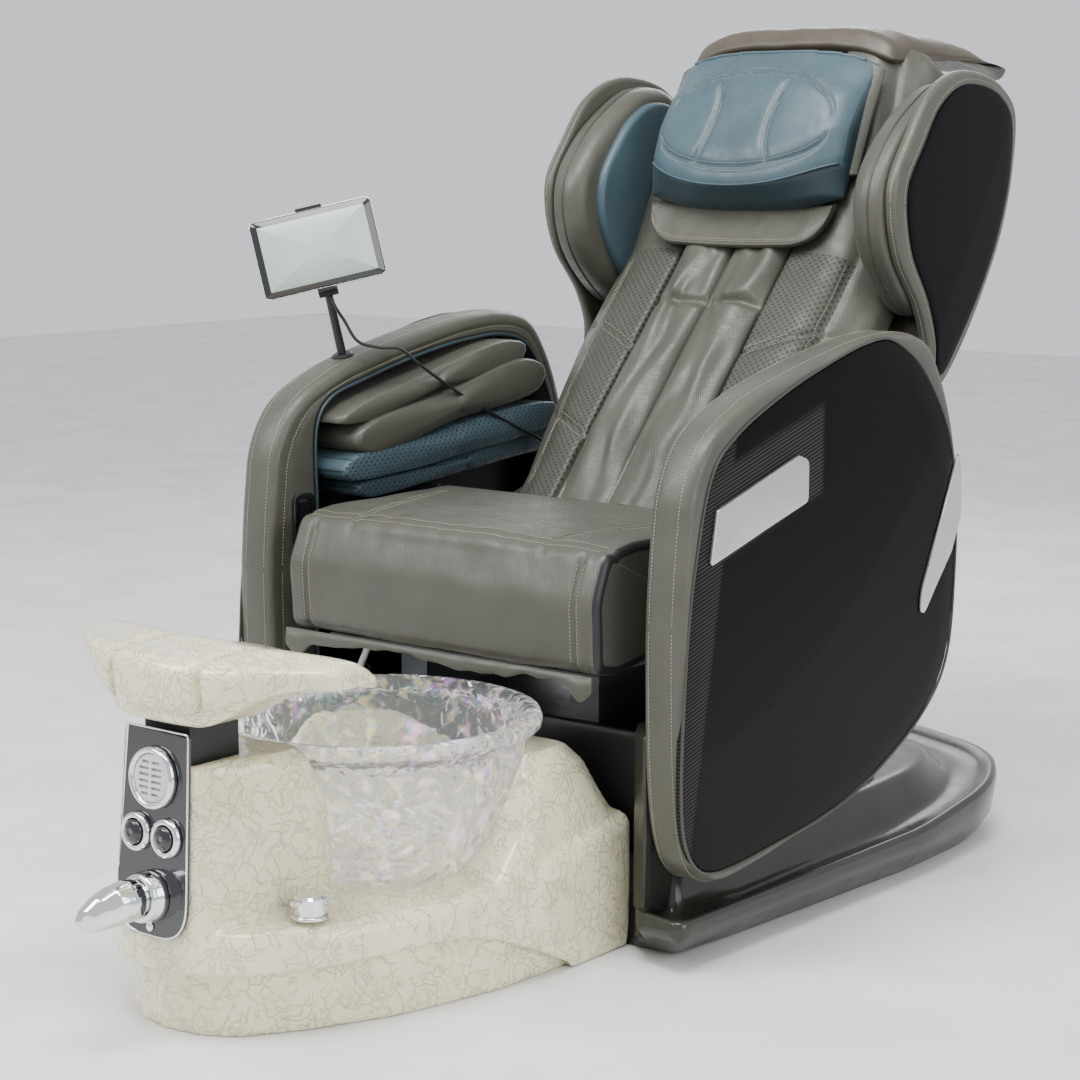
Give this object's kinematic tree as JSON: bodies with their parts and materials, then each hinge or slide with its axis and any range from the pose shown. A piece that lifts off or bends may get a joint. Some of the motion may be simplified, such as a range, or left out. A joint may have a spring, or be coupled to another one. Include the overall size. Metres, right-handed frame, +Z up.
{
  "type": "pedicure spa chair",
  "caption": "Reclining massage chair with padded arms and head wings on a moulded base, with a glass foot bowl, footrest and tap panel on a pedestal in front.",
  "frame": {"origin": "on the floor in the plane of symmetry, under the front half of the seat, on the underside of the chassis plate", "axes": "+X to the sitter's left, +Y to the back of the chair, +Z up; the chair faces -Y"},
  "size_m": [0.8935, 1.8333, 1.2918],
  "materials": {
    "steel": "painted dark",
    "graphite_shell": "high gloss metallic graphite",
    "black_plastic": "gloss black",
    "gelcoat": "pearl ivory with a crinkled embossed pattern",
    "tub_glass": "clear, hammered, iridescent",
    "chrome": "polished",
    "grey_plastic": "satin light grey",
    "grey_leather": "olive grey, fine linear emboss, satin",
    "dark_leather": "dark brown grey, satin",
    "blue_leather": "dull teal blue, satin",
    "black_panel": "fine ridged satin black",
    "silver_trim": "satin silver",
    "screen": "blank screen with a black bezel",
    "cable": "matt black"
  },
  "bodies": {
    "base": {"chassis_plate": "steel", "chair_base": "graphite_shell", "seat_housing": "black_plastic", "pedestal_body": "gelcoat", "pedestal_plinth": "gelcoat", "tub_bowl": "tub_glass", "tub_drain": "chrome", "control_panel": "black_plastic", "grille_ring": "chrome", "vent_grille": "grey_plastic", "hot_knob_bezel": "chrome", "cold_knob_bezel": "chrome", "shower_dock": "chrome", "panel_screw": "chrome", "column_fitting": "chrome", "drain_knob_base": "chrome", "arm_frame_left": "grey_leather", "arm_frame_right": "grey_leather", "arm_panel_left": "black_panel", "arm_panel_right": "black_panel", "arm_plate_left": "silver_trim", "arm_plate_right": "silver_trim", "arm_strip_left": "silver_trim", "arm_strip_right": "silver_trim", "arm_upper_pad_left": "grey_leather", "arm_upper_pad_right": "grey_leather", "arm_lower_pad_left": "blue_leather", "arm_lower_pad_right": "blue_leather", "arm_switch_bezel": "black_plastic", "post_flange": "black_plastic", "tablet_cable": "cable"},
    "seat": {"seat_frame": "steel", "seat_cushion": "grey_leather", "seat_apron": "grey_leather"},
    "seat_lever": {"seat_lever": "grey_plastic"},
    "back": {"back_shell": "dark_leather", "back_cushion": "grey_leather", "massage_cover": "dark_leather", "neck_flap": "grey_leather", "pillow": "blue_leather", "head_flap": "dark_leather", "wing_shell_left": "grey_leather", "wing_shell_right": "grey_leather", "wing_panel_left": "black_panel", "wing_panel_right": "black_panel", "wing_pad_left": "grey_leather", "wing_pad_right": "grey_leather", "wing_liner_left": "blue_leather", "wing_liner_right": "blue_leather"},
    "footrest": {"footrest": "gelcoat", "footrest_post": "black_plastic"},
    "hot_knob": {"hot_knob": "black_plastic"},
    "cold_knob": {"cold_knob": "black_plastic"},
    "drain_knob": {"drain_knob": "chrome"},
    "spray_head": {"shower_head": "chrome", "shower_hose": "steel"},
    "arm_switch": {"arm_switch": "black_plastic"},
    "tablet_post": {"tablet_post": "black_plastic"},
    "tablet": {"tablet": "screen", "tablet_holder": "black_plastic"}
  },
  "joints": [
    {"name": "seat_slide", "type": "slide", "parent": "base", "child": "seat", "axis": [0, -1, 0], "range_m": [-0.05, 0.05]},
    {"name": "back_recline", "type": "hinge", "parent": "seat", "child": "back", "pos_m": [0, 0.15, 0.5], "axis": [-1, 0, 0], "range_deg": [-20, 20]},
    {"name": "seat_lever_pull", "type": "hinge", "parent": "seat", "child": "seat_lever", "pos_m": [-0.205, -0.15, 0.372], "axis": [-1, 0, 0], "range_deg": [0, 15]},
    {"name": "footrest_lift", "type": "slide", "parent": "base", "child": "footrest", "axis": [0, 0, 1], "range_m": [0, 0.06]},
    {"name": "hot_knob_turn", "type": "hinge", "parent": "base", "child": "hot_knob", "pos_m": [-0.027, -0.7722, 0.2566], "axis": [0, -0.9971, 0.0764], "range_deg": [0, 270]},
    {"name": "cold_knob_turn", "type": "hinge", "parent": "base", "child": "cold_knob", "pos_m": [0.027, -0.7722, 0.2566], "axis": [0, -0.9971, 0.0764], "range_deg": [0, 270]},
    {"name": "drain_knob_turn", "type": "hinge", "parent": "base", "child": "drain_knob", "pos_m": [0.146, -0.646, 0.16], "axis": [0, 0, 1], "range_deg": [0, 90]},
    {"name": "spray_head_pull", "type": "slide", "parent": "base", "child": "spray_head", "axis": [0, -0.9971, 0.0764], "range_m": [0, 0.1]},
    {"name": "arm_switch_rock", "type": "hinge", "parent": "base", "child": "arm_switch", "pos_m": [-0.3345, -0.148, 0.545], "axis": [0, 1, 0], "range_deg": [-4, 4], "stiffness_Nm_per_rad": 0.08},
    {"name": "tablet_swivel", "type": "hinge", "parent": "base", "child": "tablet_post", "pos_m": [-0.375, -0.017, 0.7805], "axis": [-0.0093, -0.284, 0.9588], "range_deg": [-45, 45], "deforming": ["tablet_cable"]},
    {"name": "tablet_tilt", "type": "hinge", "parent": "tablet_post", "child": "tablet", "pos_m": [-0.376, -0.0475, 0.8835], "axis": [0.7392, 0.634, 0.2273], "range_deg": [-20, 20]}
  ]
}
